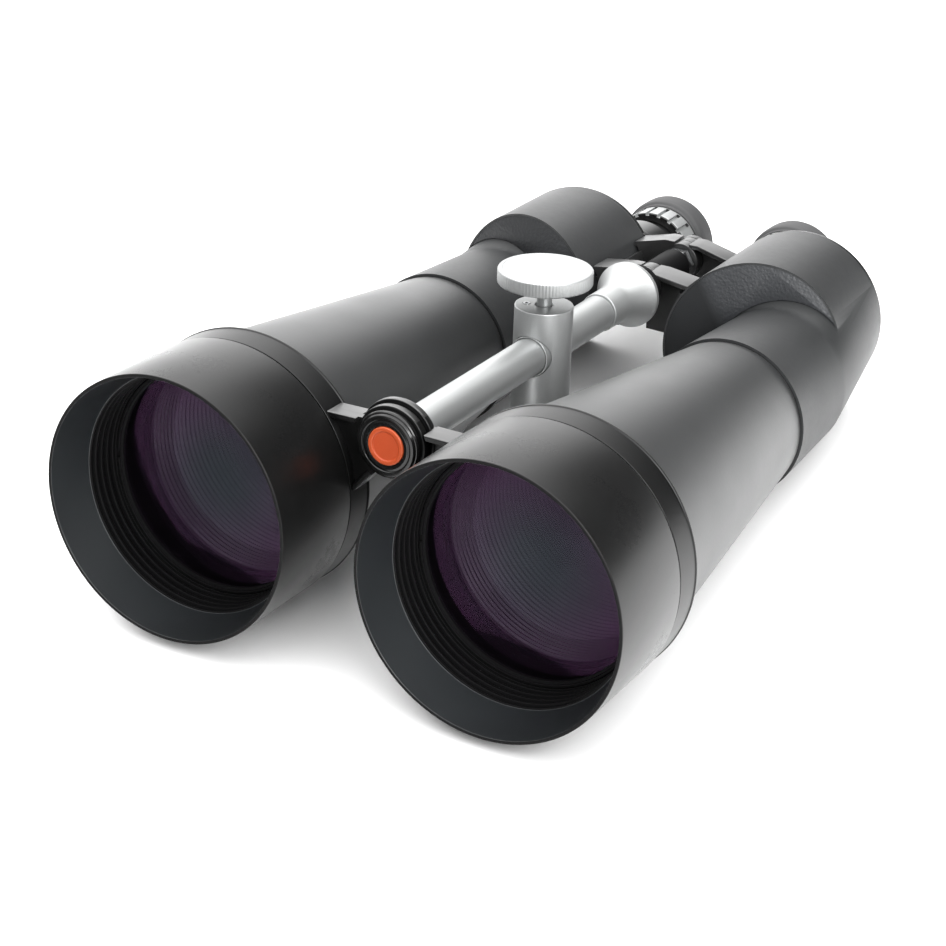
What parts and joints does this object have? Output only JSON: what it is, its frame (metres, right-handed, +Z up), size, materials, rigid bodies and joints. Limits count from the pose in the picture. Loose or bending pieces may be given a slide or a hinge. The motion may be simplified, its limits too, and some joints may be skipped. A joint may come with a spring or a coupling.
{
  "type": "astronomy binoculars",
  "caption": "Giant Porro-prism astronomy binoculars with a folding centre hinge, sliding tripod post, clamp knob and individually focused eyepieces.",
  "frame": {"origin": "on the table under the middle of the whole instrument as it lies at rest", "axes": "+Y from the objective lenses towards the eyepieces along the table, +Z up, +X across to the right-hand barrel seen from behind the eyepieces; the optical axes lean down by 6.04 degrees towards the eyepieces because the instrument rests on its front bands and prism drums"},
  "size_m": [0.2736, 0.411, 0.1259],
  "materials": {
    "satin_black": "satin black anodised and painted aluminium",
    "grained_black": "fine-grained black covering on aluminium",
    "cast_black": "matte black painted casting",
    "stippled_grey": "stippled dark grey paint",
    "black_rubber": "matte moulded rubber",
    "satin_silver": "satin silver anodised, lathe turned",
    "spring_steel": "satin steel",
    "brass": "plain turned brass",
    "orange_plastic": "satin orange insert with a plain ring groove",
    "coated_glass": "antireflection coated glass, purple and green reflex",
    "prism_glass": "clear polished glass"
  },
  "bodies": {
    "centre": {"front_hinge_cap": "cast_black", "hinge_cap_insert": "orange_plastic", "centre_rod": "satin_silver", "rod_flared_socket": "satin_silver", "rear_hinge_collar": "cast_black", "rear_hinge_spine": "cast_black", "hinge_tension_nut": "spring_steel", "rear_hinge_pin": "spring_steel", "rear_hinge_cap": "cast_black"},
    "left_half": {"left_objective_hood": "satin_black", "left_lens_retaining_ring": "cast_black", "left_crown_lens": "coated_glass", "left_flint_lens": "coated_glass", "left_lens_cell": "cast_black", "left_front_bridge": "satin_black", "left_objective_tube": "grained_black", "left_prism_housing": "grained_black", "left_front_cover_plate": "stippled_grey", "left_rear_cover": "cast_black", "left_rear_bridge": "cast_black", "left_prism_shelf": "cast_black", "left_front_prism": "prism_glass", "left_rear_prism": "prism_glass", "left_front_prism_strap": "spring_steel", "left_rear_prism_strap": "spring_steel", "left_eyepiece_guide": "cast_black"},
    "right_half": {"right_objective_hood": "satin_black", "right_lens_retaining_ring": "cast_black", "right_crown_lens": "coated_glass", "right_flint_lens": "coated_glass", "right_lens_cell": "cast_black", "right_front_bridge": "satin_black", "right_objective_tube": "grained_black", "right_prism_housing": "grained_black", "right_front_cover_plate": "stippled_grey", "right_rear_cover": "cast_black", "right_rear_bridge": "cast_black", "right_prism_shelf": "cast_black", "right_front_prism": "prism_glass", "right_rear_prism": "prism_glass", "right_front_prism_strap": "spring_steel", "right_rear_prism_strap": "spring_steel", "right_eyepiece_guide": "cast_black"},
    "left_ocular": {"left_eyepiece_barrel": "cast_black", "left_eye_lens": "prism_glass", "left_field_lens": "prism_glass"},
    "right_ocular": {"right_eyepiece_barrel": "cast_black", "right_eye_lens": "prism_glass", "right_field_lens": "prism_glass"},
    "left_focus_grip": {"left_focus_ring": "satin_silver", "left_eyecup": "black_rubber"},
    "right_focus_grip": {"right_focus_ring": "satin_silver", "right_eyecup": "black_rubber"},
    "liner": {"rod_liner": "satin_silver"},
    "post": {"tripod_post": "satin_silver", "tripod_thread_insert": "spring_steel", "post_set_screw": "spring_steel"},
    "clamp_pad": {"clamp_pad": "brass"},
    "clamp_knob": {"clamp_knob": "satin_silver", "clamp_stud": "satin_silver"}
  },
  "joints": [
    {"name": "left_fold", "type": "hinge", "parent": "centre", "child": "left_half", "pos_m": [0, -0.01713, 0.07705], "axis": [0, 0.9945, -0.1052], "range_deg": [-21, 0]},
    {"name": "right_fold", "type": "hinge", "parent": "centre", "child": "right_half", "pos_m": [0, -0.01713, 0.07705], "axis": [0, 0.9945, -0.1052], "range_deg": [0, 21]},
    {"name": "post_slide", "type": "slide", "parent": "centre", "child": "liner", "axis": [0, -0.9945, 0.1052], "range_m": [-0.038, 0.105]},
    {"name": "post_swing", "type": "hinge", "parent": "liner", "child": "post", "pos_m": [0, -0.01026, 0.07633], "axis": [0, 0.9945, -0.1052], "range_deg": [-8, 8]},
    {"name": "clamp_travel", "type": "slide", "parent": "post", "child": "clamp_pad", "axis": [0, 0.1052, 0.9945], "range_m": [0, 0.0019]},
    {"name": "clamp_knob_turn", "type": "hinge", "parent": "clamp_pad", "child": "clamp_knob", "pos_m": [0, -0.00711, 0.10616], "axis": [0, 0.1052, 0.9945], "range_deg": [0, 540]},
    {"name": "left_focus_travel", "type": "slide", "parent": "left_half", "child": "left_ocular", "axis": [0, 0.9945, -0.1052], "range_m": [-0.004, 0.004]},
    {"name": "left_focus_turn", "type": "hinge", "parent": "left_ocular", "child": "left_focus_grip", "pos_m": [-0.036, 0.1803, 0.04219], "axis": [0, 0.9945, -0.1052], "range_deg": [-149, 149]},
    {"name": "right_focus_travel", "type": "slide", "parent": "right_half", "child": "right_ocular", "axis": [0, 0.9945, -0.1052], "range_m": [-0.004, 0.004]},
    {"name": "right_focus_turn", "type": "hinge", "parent": "right_ocular", "child": "right_focus_grip", "pos_m": [0.036, 0.1803, 0.04219], "axis": [0, 0.9945, -0.1052], "range_deg": [-149, 149]}
  ],
  "couplings": [
    {"joint": "right_fold", "follows": "left_fold", "ratio": -1},
    {"joint": "clamp_travel", "follows": "clamp_knob_turn", "m_per_rad": 0.00019894},
    {"joint": "left_focus_travel", "follows": "left_focus_turn", "m_per_rad": 0.0015279},
    {"joint": "right_focus_travel", "follows": "right_focus_turn", "m_per_rad": 0.0015279}
  ]
}
